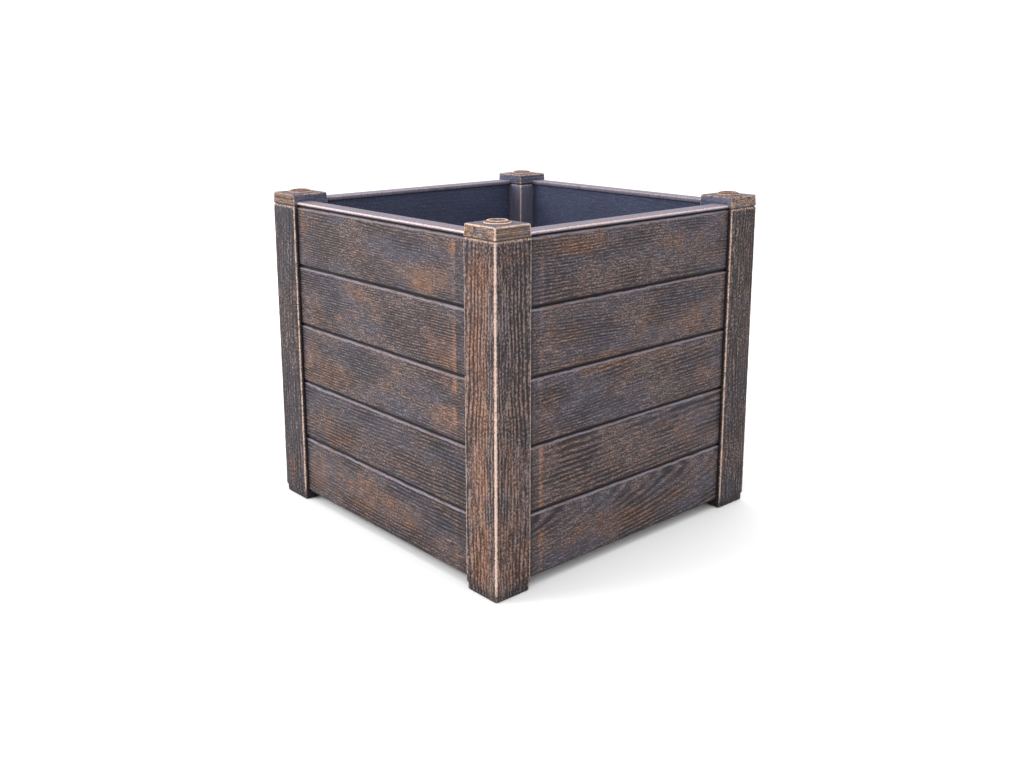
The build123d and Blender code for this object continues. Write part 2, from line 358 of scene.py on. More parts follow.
def makeFibreGroup():
    # fine fibres that run with the grain of each piece, a weave of short ones, and broad patches
    tree, given, result = newGroup(
        "woodFibre",
        [(name, "NodeSocketFloat", value) for name, value in fibreStretch.items()],
        [(name, "NodeSocketFloat") for name in fibreNoises],
    )
    grain = addNode(tree, "ShaderNodeAttribute", attribute_name="grain").outputs["Vector"]
    where = tree.nodes.new("ShaderNodeTexCoord").outputs["Object"]
    ownStretch = addNode(
        tree, "ShaderNodeCombineXYZ",
        {"X": given.outputs["Along"], "Y": given.outputs["Across"], "Z": 1.0},
    ).outputs[0]
    for name, spec in fibreNoises.items():
        place, scale = where, spec.get("scale", 1.0)
        if "scale" not in spec:
            stretch = {0: grain, 1: spec.get("stretch", ownStretch)}
            place = addNode(tree, "ShaderNodeVectorMath", stretch, operation="MULTIPLY").outputs[0]
        made = noiseNode(tree, place, scale, spec["detail"], roughness=spec["roughness"])
        tree.links.new(made, result.inputs[name])
    return tree


def makeFinishGroup(fibreGroup):
    # dark stain in the hollows, copper rubbed over the ridges, bare metal colour on the worn edges, and the
    # painted shade and painted highlight that the pieces carry
    inputs = [(name.capitalize(), "NodeSocketColor", colour) for name, colour in woodColours.items()]
    inputs.append(("Contrast", "NodeSocketFloat", 1.0))
    inputs += [(name, "NodeSocketFloat", value) for name, value in fibreStretch.items()]
    outputs = [("Color", "NodeSocketColor")]
    outputs += [(name, "NodeSocketFloat") for name in ("Roughness", "Metal", "Height")]
    tree, given, result = newGroup("rubbedFinish", inputs, outputs)
    colour = {name: given.outputs[name.capitalize()] for name in woodColours}
    fibres = addNode(tree, "ShaderNodeGroup", node_tree=fibreGroup)
    for name in fibreStretch:
        tree.links.new(given.outputs[name], fibres.inputs[name])
    fibre, weave, grit, patch, cloud = (fibres.outputs[name] for name in fibreNoises)
    relief, rub, wear, pale, inside, shade = (readLayer(tree, name) for name in skinLayers)
    amount = finishSet

    # how high a spot stands in the brushed grain, and how much copper was rubbed on it
    fine = plus(tree, centred(tree, fibre, amount["fibre"]), centred(tree, weave, amount["weave"]))
    fine = times(tree, fine, between(tree, cloud, *amount["calm"]))
    raised = plus(tree, minus(tree, relief, amount["bareRelief"]), fine)
    level = plus(tree, times(tree, raised, given.outputs["Contrast"]), 0.5, clamp=True)
    rubbed = plus(tree, rub, centred(tree, patch, amount["rubPatch"]), clamp=True)

    # stain in the hollows, wood between, copper on the crests
    unrubbed = minus(tree, amount["chillAmount"], times(tree, rubbed, amount["chillAmount"]))
    chill = times(tree, between(tree, cloud, *amount["chill"]), unrubbed)
    middle = mixColour(tree, chill, colour["middle"], colour["cool"])
    middle = mixColour(tree, times(tree, rubbed, amount["copperInMiddle"]), middle, colour["copper"])
    crest = mixColour(tree, times(tree, rubbed, amount["copperOnCrest"]), colour["ridge"], colour["copper"])
    browned = times(tree, rubbed, amount["brownInHollow"])
    hollow = mixColour(tree, browned, colour["valley"], colour["hollow"])
    ground = mixColour(tree, between(tree, level, *amount["outOfHollow"]), hollow, middle)
    finish = mixColour(tree, between(tree, level, *amount["ontoCrest"]), ground, crest)

    # the stain drifts between cool and warm, and dries pale on the highest crests
    drifting = centred(tree, patch, amount["tintPatch"])
    drifting = plus(tree, drifting, centred(tree, cloud, amount["tintCloud"]))
    drifting = plus(tree, drifting, centred(tree, grit, amount["tintGrit"]))
    tint = mixColour(tree, between(tree, drifting, *amount["tint"]), toneTints["chill"], toneTints["warm"])
    finish = mixColour(tree, 1.0, finish, tint, blend="MULTIPLY")
    dry = times(tree, between(tree, level, *amount["dry"]), amount["dryAmount"])
    finish = mixColour(tree, dry, finish, colour["worn"])

    # painted shade in gaps, grooves and under things along with dark joints, the pale painted highlight on
    # upward-facing bevels and tops, worn edges and the bluish lining
    shaded = mixColour(tree, shade, finish, colour["valley"])
    paleSheenMottle = times(tree, between(tree, patch, *amount["paleSheen"]), amount["paleSheenAmount"])
    paleSheen = mixColour(tree, paleSheenMottle, colour["pale"], crest)
    shaded = mixColour(tree, times(tree, pale, between(tree, level, *amount["paleRidge"])), shaded, paleSheen)
    flecked = plus(tree, wear, centred(tree, grit, amount["fleck"]))
    bare = times(tree, between(tree, flecked, *amount["bare"]), between(tree, wear, *amount["wearFrom"]))
    worn = mixColour(tree, bare, shaded, colour["worn"])
    lining = mixColour(tree, between(tree, level, *amount["lining"]), colour["deep"], colour["slate"])
    lining = mixColour(tree, pale, lining, colour["pale"])
    lined = times(tree, inside, minus(tree, 1.0, bare))
    tree.links.new(mixColour(tree, lined, worn, lining), result.inputs["Color"])

    # crests and bare edges are smoother and more like metal
    shine = times(tree, between(tree, level, *amount["shine"]), amount["shineAmount"])
    polished = mathNode(tree, "MAXIMUM", bare, shine)
    gloss = minus(tree, amount["roughness"], times(tree, polished, amount["smoother"]))
    tree.links.new(plus(tree, gloss, centred(tree, grit, amount["roughGrit"])), result.inputs["Roughness"])
    tree.links.new(times(tree, polished, amount["metal"]), result.inputs["Metal"])
    height = plus(tree, fibre, plus(tree, weave, times(tree, grit, amount["gritHeight"])))
    tree.links.new(height, result.inputs["Height"])
    return tree


def makeWood(name, group, **values):
    material, tree, shader = newMaterial(name)
    shader.inputs["Specular IOR Level"].default_value = woodShader["specular"]
    finish = addNode(tree, "ShaderNodeGroup", node_tree=group)
    for socket, value in values.items():
        finish.inputs[socket].default_value = value
    tree.links.new(finish.outputs["Color"], shader.inputs["Base Color"])
    tree.links.new(finish.outputs["Roughness"], shader.inputs["Roughness"])
    tree.links.new(finish.outputs["Metal"], shader.inputs["Metallic"])
    bumpInto(tree, shader, finish.outputs["Height"], woodShader["bump"], woodShader["bumpDistance"])
    return material


fibreGroup = makeFibreGroup()
finishGroup = makeFinishGroup(fibreGroup)
boardWood = makeWood("boardWood", finishGroup)
postWood = makeWood("postWood", finishGroup, Contrast=1.25, Along=25.0, Across=560.0)
trimWood = makeWood(
    "trimWood", finishGroup, Contrast=0.6,
    Middle=linear(96, 90, 103), Ridge=linear(132, 124, 138), Worn=linear(206, 184, 180),
)
capWood = makeWood(
    "capWood", finishGroup, Contrast=1.0, Middle=linear(80, 70, 70),
    Ridge=linear(140, 123, 117), Copper=linear(150, 112, 76), Pale=linear(134, 126, 146),
)
buttonWood = makeWood("buttonWood", finishGroup)
print("wood finishes ready")

walls = dict(front=(1, 0), right=(0, 1), back=(-1, 0), left=(0, -1))  # which way X runs along each wall
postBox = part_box("post_front_right")
postSize = postBox[1].x - postBox[0].x
halfWidth = postBox[1].x
halfDepth = -postBox[0].y


def wallFrame(wall):  # X along the wall, Y inwards from the post faces, Z up
    x, y = walls[wall]
    along, inward = Vector((x, y, 0)), Vector((-y, x, 0))
    away = halfDepth if x else halfWidth
    turn = Matrix((along, inward, Vector((0, 0, 1)))).transposed().to_4x4()
    return Matrix.Translation(-inward * away) @ turn


def wallBox(wall, node):  # a node's box, seen from its wall
    back = wallFrame(wall).inverted()
    corners = [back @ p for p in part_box(node)]
    low = Vector(min(c[i] for c in corners) for i in range(3))
    high = Vector(max(c[i] for c in corners) for i in range(3))
    return low, high


def clearHalfOf(wall):  # from the middle of a wall to the side of its post
    return (halfWidth if walls[wall][0] else halfDepth) - postSize


def makeBar(section, fine, length, cuts):
    # a closed outline of (depth, height) points, its fine sides cut up, drawn out along the wall
    bm = bmesh.new()
    points = [bm.verts.new((-length / 2, depth, height)) for depth, height in section]
    sides = [bm.edges.new((point, points[(i + 1) % len(points)])) for i, point in enumerate(points)]
    for side, parts in fine.items():
        bmesh.ops.subdivide_edges(bm, edges=[sides[side]], cuts=parts)
    drawn = bmesh.ops.extrude_edge_only(bm, edges=bm.edges[:])["geom"]
    bmesh.ops.translate(bm, verts=vertsOf(drawn), vec=(length, 0, 0))
    lengthwise = [e for e in bm.edges if abs(e.verts[0].co.x - e.verts[1].co.x) > length / 2]
    bmesh.ops.subdivide_edges(bm, edges=lengthwise, cuts=cuts)
    bmesh.ops.holes_fill(bm, edges=[e for e in bm.edges if e.is_boundary], sides=0)
    return bm


boardShape = dict(
    bevelHeight=0.0045, bevelDepth=0.004, tongueHeight=0.008, tongueThickness=0.009,
    groovePlay=0.00025, grooveSpare=0.001, jointWidth=0.003,
    faceCuts=118, bevelCuts=5, insideCuts=34, lengthCuts=120,
)
boardTimber = dict(
    ring=0.0042, groove=0.45, sway=0.007, swayRate=3.0, ripple=0.0016, rippleRate=15.0, lean=0.07,
    heartDepth=(0.03, 0.09), heartSide=(0.08, 0.17), weak=0.25, deep=0.6, fibre=0.2,
)
# boards whose rings differ from the rest
boardGrowth = dict(
    right_1=dict(heartDepth=0.07, heartSide=0.05, lean=0.12, ring=0.0052, deep=0.7),
    right_2=dict(ring=0.0055, deep=0.75),
    front_1=dict(ring=0.0056, deep=0.75),
    front_2=dict(ring=0.0058, deep=0.85, weak=0.35),
    front_5=dict(ring=0.0036),
)
# how deep the brush went, and the slow and the quick wobble of the V grooves: reach, rate, lane
boardBrush = dict(
    cut=0.0006, insideCut=0.0003, insideRelief=0.6, wobble=((0.0006, 34, 2.2), (0.0004, 110, 6.4)),
)
# how dark the dull strip is, and the painted shade in the gap beside the post and at the bottom of the V
# grooves
boardShade = dict(strip=0.18, gap=0.95, groove=0.95)
# how each end of a wall's boards was rubbed, and its painted shade: width of the dark gap (painted shade at
# the post), the dull strip and the copper band
endMarks = {
    ("front", 1): (0.004, 0.026, 0.008), ("front", -1): (0.003, 0.009, 0.008),
    ("right", -1): (0.0095, 0.021, 0.008), ("right", 1): (0.003, 0.009, 0.006),
}
plainEnd = (0.004, 0.013, 0.007)
bandStrength = dict(least=0.1, most=0.5, bright=0.9)
brightBands = ("front_5", "front_4", "front_3", "right_2", "right_1")
# the lips of the V grooves take the worn colour, partly edge wear and partly painted highlight, set wall by
# wall
lipWearAndSheen = dict(front=0.36, right=0.22, back=0.3, left=0.25)  # how bright the lips of the V grooves are
# where copper was rubbed on hardest: along, across, half length, half width, strength
copperPatches = dict(
    front_5=((0.13, -0.02, 0.1, 0.03, 0.8), (-0.21, 0.0, 0.02, 0.05, 0.5)),
    front_4=((0.17, -0.02, 0.05, 0.035, 0.6), (-0.05, 0.03, 0.08, 0.02, 0.25)),
    front_3=((0.18, -0.02, 0.05, 0.03, 0.55), (-0.2, 0.01, 0.03, 0.04, 0.5)),
    front_2=((-0.13, -0.02, 0.09, 0.03, 0.5), (0.06, -0.03, 0.07, 0.02, 0.4)),
    front_1=((-0.19, 0.0, 0.05, 0.05, 0.65), (0.02, -0.01, 0.16, 0.04, 0.45)),
    right_5=((-0.13, 0.03, 0.08, 0.02, 0.6), (0.08, 0.01, 0.12, 0.03, 0.25)),
    right_4=((-0.05, -0.045, 0.15, 0.014, 0.5),),
    right_3=((-0.06, 0.045, 0.09, 0.014, 0.5), (0.18, 0.0, 0.03, 0.05, 0.3)),
    right_2=((0.17, -0.02, 0.06, 0.03, 0.4), (-0.16, 0.03, 0.07, 0.02, 0.3)),
    right_1=((-0.02, -0.02, 0.18, 0.035, 0.4), (-0.2, 0.0, 0.02, 0.05, 0.3)),
)


def copperRub(name, along, across, seed):
    grainy = drift(along * 9, across * 16, seed + 0.5) + 0.5 * drift(along * 40, across * 90, seed)
    amount = 0.4 * smoothStep(0.1, 0.9, grainy)
    for centreAlong, centreAcross, reachAlong, reachAcross, strength in copperPatches.get(name, ()):
        far = math.hypot((along - centreAlong) / reachAlong, (across - centreAcross) / reachAcross)
        amount = max(amount, strength * (1 - smoothStep(0.2, 1.15, far - 0.35 * grainy)))
    return amount


def boardSection(low, high, bottom, tongued):
    # (depth, height) points: the face with its two bevels, a groove along the top, a tongue below
    shape = boardShape
    top, outer, inner = high.z, low.y, high.y
    bevelBack = outer + shape["bevelDepth"]
    middle = (bevelBack + inner) / 2
    tongue = shape["tongueThickness"] / 2
    groove = tongue + shape["groovePlay"]
    grooveFloor = top - shape["tongueHeight"] - shape["grooveSpare"]
    section = [
        (bevelBack, bottom), (outer, bottom + shape["bevelHeight"]), (outer, top - shape["bevelHeight"]),
        (bevelBack, top), (middle - groove, top), (middle - groove, grooveFloor),
        (middle + groove, grooveFloor), (middle + groove, top), (inner, top), (inner, bottom),
    ]
    if tongued:
        section += [
            (middle + tongue, bottom), (middle + tongue, low.z),
            (middle - tongue, low.z), (middle - tongue, bottom),
        ]
    return section


# the dark gap is painted shade in the recess where the board meets the post
def endBands(marks, toPost):  # the dark gap, the dull strip and the copper band beside a post
    gapWide, stripWide, bandWide = marks
    gap = 1 - smoothStep(gapWide * 0.7, gapWide, toPost)
    strip = 1 - smoothStep(stripWide - 0.002, stripWide, toPost)
    band = smoothStep(stripWide - 0.001, stripWide + 0.001, toPost)
    band *= 1 - smoothStep(stripWide + bandWide * 0.8, stripWide + bandWide * 1.4, toPost)
    return gap, strip, band


def makeBoard(wall, number):
    name = f"{wall}_{number}"
    node = f"board_{name}"
    low, high = wallBox(wall, node)
    shape, brush, dark = boardShape, boardBrush, boardShade
    bottom = low.z + (shape["tongueHeight"] if number > 1 else 0)
    top, outer, inner = high.z, low.y, high.y
    fine = {0: shape["bevelCuts"], 1: shape["faceCuts"], 2: shape["bevelCuts"], 8: shape["insideCuts"]}
    bm = makeBar(boardSection(low, high, bottom, number > 1), fine, high.x - low.x, shape["lengthCuts"])
    skin = Skin(bm)
    seed = 11 + number + 10 * list(walls).index(wall)
    timber = makeTimber(seed, boardTimber)
    timber.update(boardGrowth.get(name, {}))
    clearHalf = clearHalfOf(wall)
    centre = (bottom + top) / 2
    endTone = random.Random(seed + 500)
    bandAt = {end: endTone.uniform(bandStrength["least"], bandStrength["most"]) for end in (-1, 1)}
    if name in brightBands:
        bandAt[1 if wall == "front" else -1] = bandStrength["bright"]
    for vert in bm.verts:
        along, depth, height = vert.co
        across = height - centre
        inside = depth > inner - 0.0005
        if depth > outer + shape["bevelDepth"] + 0.0005 and not inside:  # tongue and groove
            skin.paint(vert, (along, across + depth, seed), relief=0.4, inside=1.0)
            continue
        relief = ringRelief(timber, along, across, depth)
        if inside:
            vert.co.y += brush["insideCut"] * (relief - 1)
            joint = 1 - smoothStep(0.0, shape["jointWidth"], min(height - bottom, top - height))
            skin.paint(
                vert, (along, across, seed),
                relief=relief * brush["insideRelief"], inside=1 - joint, shade=joint,
            )
            continue
        toPost = clearHalf - abs(along)
        end = 1 if along > 0 else -1
        gap, strip, band = endBands(endMarks.get((wall, end), plainEnd), toPost)
        band *= bandAt[end] * smoothStep(-0.45, 0.35, drift(height * 45, along * 30, seed + 4.4))
        vert.co.y += brush["cut"] * (1 - relief)
        if toPost < 0:  # the end that sits in the post's slot stays true
            vert.co.y = max(vert.co.y, outer)
        edge = abs(across) - ((top - bottom) / 2 - shape["bevelHeight"])
        lip = 1 - smoothStep(0.0, 0.0016, abs(edge))
        slow, quick = (reach * drift(along * rate, lane, seed) for reach, rate, lane in brush["wobble"])
        wavy = edge + (slow + quick)
        chamfer = smoothStep(-0.0006, 0.0004, wavy)
        upper = 0
        if across > 0:
            crease = smoothStep(shape["bevelHeight"] * 0.42, shape["bevelHeight"] * 0.62, wavy)
            upper = chamfer * (1 - crease)
        else:
            crease = smoothStep(-0.0004, shape["bevelHeight"] * 0.2, wavy)
        # gap is painted shade in the recess at the post and crease painted shade down in the V groove; the
        # upward-facing bevel (upper) is raised to the crest colour and paled as a painted highlight; the lip
        # takes the worn colour, partly edge wear and partly painted highlight
        skin.paint(
            vert, (along, across, seed),
            relief=(relief + 0.2 * band) * (1 - upper) + upper,
            rub=max(copperRub(name, along, across, seed) * (1 - 0.8 * strip), band) * (1 - 0.6 * upper),
            wear=lipWearAndSheen[wall] * lip * (1 - strip) * (across > 0),
            pale=upper * (0.85 + 0.4 * drift(along * 22, 5.1, seed)),
            shade=max(dark["strip"] * strip * (1 - upper), dark["gap"] * gap, dark["groove"] * crease),
        )
    bm.transform(wallFrame(wall))
    return newPiece(f"grainBoard_{name}", bm, boardWood, node)


for wall in walls:
    for number in range(1, 6):
        makeBoard(wall, number)
print("boards made")

railShape = dict(
    bevelHeight=0.003, bevelDepth=0.004, outerRound=0.0035, innerRound=0.002, ribBack=0.003, endPlay=0.001,
    bevelCuts=3, roundCuts=5, topCuts=30, lengthCuts=110,
)
railTimber = dict(
    ring=0.005, groove=0.3, sway=0.006, swayRate=3.0, ripple=0.0012, rippleRate=16.0, lean=0.05,
    heartDepth=(0.04, 0.06), heartSide=(0.05, 0.08), weak=0.3, deep=0.5, fibre=0.3,
)
railBrush = dict(cut=0.00025, wornBack=0.0003)
railWear = dict(outer=0.8, inner=0.5, rub=0.6)


def railSection(outer, inner, under, top):
    # (depth, height) points: bevelled below the outer face, rounded along both upper edges
    shape = railShape
    outerRound, innerRound = shape["outerRound"], shape["innerRound"]
    quarter = [math.pi / 2 * step / shape["roundCuts"] for step in range(shape["roundCuts"] + 1)]
    section = [(outer + shape["bevelDepth"], under), (outer, under + shape["bevelHeight"])]
    for angle in quarter:
        across, down = 1 - math.cos(angle), 1 - math.sin(angle)
        section.append((outer + outerRound * across, top - outerRound * down))
    for angle in quarter:
        across, down = 1 - math.sin(angle), 1 - math.cos(angle)
        section.append((inner - innerRound * across, top - innerRound * down))
    section.append((inner, under))
    return section


def makeRail(wall):
    node = f"rail_{wall}"
    low, high = wallBox(wall, node)
    shape = railShape
    ribHeight = boardShape["tongueHeight"]
    under = low.z + ribHeight
    top, outer, inner = high.z, low.y, high.y
    topSide = 2 + shape["roundCuts"]
    clear = 2 * clearHalfOf(wall) - shape["endPlay"]
    fine = {topSide: shape["topCuts"], 0: shape["bevelCuts"]}
    bm = makeBar(railSection(outer, inner, under, top), fine, clear, shape["lengthCuts"])
    # the rib below goes into the top board's groove
    rib = bmesh.ops.create_cube(bm, size=1)["verts"]
    ribDepth = (outer + shape["bevelDepth"] + inner - shape["ribBack"]) / 2
    bmesh.ops.scale(bm, verts=rib, vec=(high.x - low.x, boardShape["tongueThickness"], ribHeight))
    bmesh.ops.translate(bm, verts=rib, vec=(0, ribDepth, low.z + ribHeight / 2 - 0.00005))
    skin = Skin(bm)
    seed = 71 + list(walls).index(wall)
    timber = makeTimber(seed, railTimber)
    centre = (outer + inner) / 2
    flatHalf = (inner - outer) / 2 - shape["outerRound"]
    for vert in bm.verts:
        along, depth, height = vert.co
        if height < under - 0.0001:
            skin.paint(vert, (along, depth, seed), relief=0.4)
            continue
        across = depth - centre
        relief = ringRelief(timber, along, across, 0.0)
        toOuter = math.hypot(depth - outer, height - (top - shape["outerRound"] * 0.3))
        toInner = math.hypot(depth - inner, height - top)
        nick = 0.5 + 0.5 * drift(along * 90, height * 300, seed + 2)
        outerWear = railWear["outer"] * (1 - smoothStep(0.0008, 0.0028 + 0.0008 * nick, toOuter))
        innerWear = railWear["inner"] * (1 - smoothStep(0.0008, 0.0024, toInner))
        if abs(across) < flatHalf and height > top - 0.0002:
            vert.co.z -= railBrush["cut"] * (1 - relief)
        else:
            vert.co.y += railBrush["wornBack"] * nick * outerWear
            vert.co.z -= railBrush["wornBack"] * nick * max(outerWear, innerWear)
        rubbed = smoothStep(-0.1, 0.5, drift(along * 8, 0, seed)) * (1 - smoothStep(0.003, 0.008, toOuter))
        bevelled = smoothStep(0.0, 0.002, under + shape["bevelHeight"] - height)
        # the bevel under the outer face is darkened as painted shade, and the top and rounds are paled as a
        # painted highlight
        skin.paint(
            vert, (along, across, seed), relief=0.35 + 0.45 * relief, rub=railWear["rub"] * rubbed,
            wear=max(outerWear, innerWear), pale=0.8 * (1 - bevelled), shade=0.9 * bevelled,
            inside=smoothStep(0.0, 0.001, depth - inner + 0.0005) * (1 - innerWear),
        )
    bm.transform(wallFrame(wall))
    return newPiece(f"topRail_{wall}", bm, trimWood, node)


for wall in walls:
    makeRail(wall)
print("rails made")

corners = dict(front_right=0, back_right=1, back_left=2, front_left=3)  # quarter turns from the front right


def cornerFrame(corner):  # the pieces are made for the front right corner, then turned into place
    turn = Matrix.Rotation(math.pi / 2 * corners[corner], 4, "Z")
    away = Vector((halfWidth - postSize / 2, -(halfDepth - postSize / 2), 0))
    return Matrix.Translation(turn @ away) @ turn


# the nearest place on a square with round corners, and its outward normal
def onRoundSquare(x, y, half, radius):
    core = half - radius
    nearX, nearY = min(max(x, -core), core), min(max(y, -core), core)
    away = Vector((x - nearX, y - nearY))
    if away.length < 1e-9:
        return Vector((x, y)), Vector((0, 0))
    normal = away.normalized()
    return Vector((nearX, nearY)) + normal * radius, normal


postShape = dict(
    edge=0.003, seam=0.002, footInset=0.0017, footRound=0.0018, footStep=0.004, footHeight=0.015,
    slotSide=0.00675, slotWide=0.0285, slotDeep=0.013,
    faceCuts=84, sideCuts=(8, 33, 41), footLevels=8, levels=106,
)
postTimber = dict(
    ring=0.0038, groove=0.36, sway=0.006, swayRate=2.6, ripple=0.0018, rippleRate=11.0, lean=0.03,
    heartDepth=(0.055, 0.085), heartSide=(0.055, 0.085), weak=0.35, deep=0.7, fibre=0.3,
)
postBrush = dict(cut=0.0007, wornBack=0.0007)
postTone = dict(  # darkening, strength of the grain
    front_right=(0.0, 1.0), back_right=(0.2, 0.5), back_left=(0.1, 0.8), front_left=(0.22, 0.5),
)
postRub = dict(right=0.4, others=0.6, nearRight=0.35, nearFront=0.7)
# painted shade on the near post's right face, the side away from the key light
nearRightDark = 0.12


def makePostBlank(top):
    # a square post with a slot down each of the two sides that take boards; the slots stop above the foot
    shape = postShape
    half, foot = postSize / 2, shape["footHeight"]
    slotFrom = half - shape["slotSide"]
    slotTo = slotFrom - shape["slotWide"]
    floor = half - shape["slotDeep"]
    bm = bmesh.new()
    # from the outer corner round, with the mouths of the slots as sides 2 and 5
    outline = [
        (half, -half), (half, half), (slotFrom, half), (slotTo, half),
        (-half, half), (-half, -slotTo), (-half, -slotFrom), (-half, -half),
    ]
    ring = [bm.verts.new((x, y, foot)) for x, y in outline]
    sides = [bm.edges.new((vert, ring[(i + 1) % len(ring)])) for i, vert in enumerate(ring)]
    slotFloors = {2: ((slotFrom, floor), (slotTo, floor)), 5: ((-floor, -slotTo), (-floor, -slotFrom))}
    slotWalls = {}
    for side, places in slotFloors.items():
        first, last = (bm.verts.new((x, y, foot)) for x, y in places)
        pairs = ((ring[side], first), (first, last), (last, ring[side + 1]))
        slotWalls[side] = [bm.edges.new(pair) for pair in pairs]
    face, (near, mouth, rest) = shape["faceCuts"], shape["sideCuts"]
    cuts = {0: face, 7: face, 1: near, 2: mouth, 3: rest, 4: rest, 5: mouth, 6: near}
    outside, upper = [], []
    for side, parts in cuts.items():
        cut = bmesh.ops.subdivide_edges(bm, edges=[sides[side]], cuts=parts)["geom_inner"]
        edges = list(dict.fromkeys(edge for vert in vertsOf(cut) for edge in vert.link_edges))
        outside += edges
        if side in slotWalls:
            bmesh.ops.contextual_create(bm, geom=edges + slotWalls[side])
            upper += slotWalls[side]
        else:
            upper += edges
    footRing = raiseRing(bm, outside, -foot, shape["footLevels"])
    bmesh.ops.holes_fill(bm, edges=footRing, sides=0)
    topRing = raiseRing(bm, upper, top - shape["seam"] - foot, shape["levels"])
    topRing = raiseRing(bm, topRing, shape["seam"], 1)
    bmesh.ops.holes_fill(bm, edges=topRing, sides=0)
    return bm


def postInset(z, top):  # how far the post draws in at its rounded foot and under its cap
    shape = postShape
    footTop = shape["footHeight"]
    foot = shape["footInset"] * (1 - smoothStep(footTop - shape["footStep"], footTop, z))
    head = shape["seam"] * smoothStep(top - shape["seam"] - 1e-5, top, z)
    curve = 0.0
    if z < shape["footRound"]:
        curve = shape["footRound"] * (1 - math.sqrt(max(1 - (1 - z / shape["footRound"]) ** 2, 0)))
    return foot, head, curve


def copperOnPost(corner, x, y, z, top, normal, seed):
    grainy = drift(z * 3.2, (x + y) * 26, seed + 0.5) + 0.4 * drift(z * 14, (x - y) * 70, seed)
    onRight = normal.x > 0.5
    rub = (postRub["right"] if onRight else postRub["others"]) * smoothStep(0.0, 0.8, grainy)
    if corner != "front_right":
        return rub
    if onRight:  # copper low down
        return postRub["nearRight"] * (1 - smoothStep(0.06, 0.34, z - 0.1 * grainy))
    if normal.y < -0.5:  # copper down the middle, less under the cap
        offMiddle = abs(x + 0.002) - 0.012 * grainy
        rub = max(rub, postRub["nearFront"] * (1 - smoothStep(0.008, 0.034, offMiddle)))
        rub *= 0.25 + 0.75 * smoothStep(0.012, 0.035, top - z)
    return rub


def makePost(corner):
    shape, brush = postShape, postBrush
    node = f"post_{corner}"
    half, top = postSize / 2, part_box(node)[1].z
    slotFrom = half - shape["slotSide"]
    bm = makePostBlank(top)
    skin = Skin(bm)
    seed = 131 + 9 * corners[corner]
    timber = makeTimber(seed, postTimber)
    heart = Vector((-timber["heartDepth"], abs(timber["heartSide"])))
    for vert in bm.verts:
        x, y, z = vert.co
        # inside the slots the wood is darkened as painted shade
        if max(abs(x), abs(y)) < half - 1e-5:  # inside the slots
            skin.paint(vert, (z, x + y, seed), relief=0.3, shade=0.8)
            continue
        footInset, headInset, footCurve = postInset(z, top)
        reach = half - footInset - headInset - footCurve
        scale = reach / half
        spot, normal = onRoundSquare(x * scale, y * scale, reach, shape["edge"])
        toCorner = abs(abs(x) - half) + abs(abs(y) - half)
        arris = 1 - smoothStep(0.0012, 0.0048 + 0.0014 * (1 - z / top), toCorner)
        if x * y > 0:
            arris *= 0.8
        # the post's top chamfer under the cap takes the worn colour as a painted highlight
        brow = smoothStep(top - shape["seam"] - 0.0012, top - shape["seam"] - 0.0002, z)
        across = math.hypot(x - heart.x, y - heart.y)
        sway, ripple = wander(timber, z, across)
        rings = (across + sway + ripple + timber["lean"] * z) / timber["ring"]
        relief = brushed(timber, rings + 0.3 * drift(z * 14, across * 120, seed), z, x - y)
        nick = 0.5 + 0.5 * drift(z * 110, seed * 3.1, seed) + 0.3 * drift(z * 340, 1.7, seed)
        cut = brush["cut"] * (1 - relief) * (1 - 0.75 * arris) + brush["wornBack"] * arris * nick
        vert.co.x, vert.co.y = spot - normal * cut
        darker, grainLevel = postTone[corner]
        if corner == "front_right":
            grainLevel *= 0.5 + 0.5 * smoothStep(0.008, 0.07, top - z)
            # the near post's right face is darkened as painted shade
            if normal.x > 0.5:
                darker = nearRightDark
        outer = normal.x > 0.5 or normal.y < -0.5
        # the narrow sides between the outer faces and the boards are darkened as painted shade in the recess
        onFar = normal.y > 0.5 and x > slotFrom - 0.0005
        onLeft = normal.x < -0.5 and y < 0.0005 - slotFrom
        besideBoard = onFar or onLeft  # the narrow sides between the outer faces and the boards
        # below the lining the inner faces are darkened as painted shade; the outer faces of the feet get
        # darker towards the floor
        lining = smoothStep(0.03, 0.05, z)
        feet = 1 - smoothStep(0.006, 0.028, z)
        edgeWear = arris * (0.6 + 0.4 * nick) * (1 - 0.5 * feet)
        skin.paint(
            vert, (z, across, seed), relief=0.5 + (relief - 0.5) * grainLevel,
            rub=copperOnPost(corner, x, y, z, top, normal, seed) * (1 - feet),
            wear=max(edgeWear, 0.5 * brow) * (1 if outer or x * y < 0 else 0.7),
            pale=0.0 if outer or besideBoard else 0.4 * lining,
            inside=0.0 if outer or besideBoard else lining,
            shade=max(
                0.5 * feet if outer else 0.9 * (1 - lining), darker,
                0.85 * (1 - arris) if besideBoard else 0,
            ),
        )
    bm.transform(cornerFrame(corner))
    return newPiece(f"grainPost_{corner}", bm, postWood, node)


for corner in corners:
    makePost(corner)
print("posts made")

capShape = dict(
    seam=0.002, lean=0.0008, edge=0.003, topRound=0.0018, pocketRadius=0.0112, pocketDepth=0.014,
    holeRadius=0.0045, pocketEdge=0.001, sideCuts=35, sideLevels=9, roundLevels=5, topLevels=16,
)
capBrush = dict(topCut=0.0002, sideCut=0.0004, wornBack=0.0006, wornDown=0.0004)
# seam is painted shade in the V under the cap, rightSide painted shade on the cap's right side, top a slight
# darkening of the whole top, underButton painted shadow round the button
capShade = dict(seam=0.5, rightSide=0.22, top=0.2, underButton=0.75)
wearAtCorner = dict(front_right=1.0, back_right=0.62, back_left=0.7, front_left=0.62)  # caps and buttons


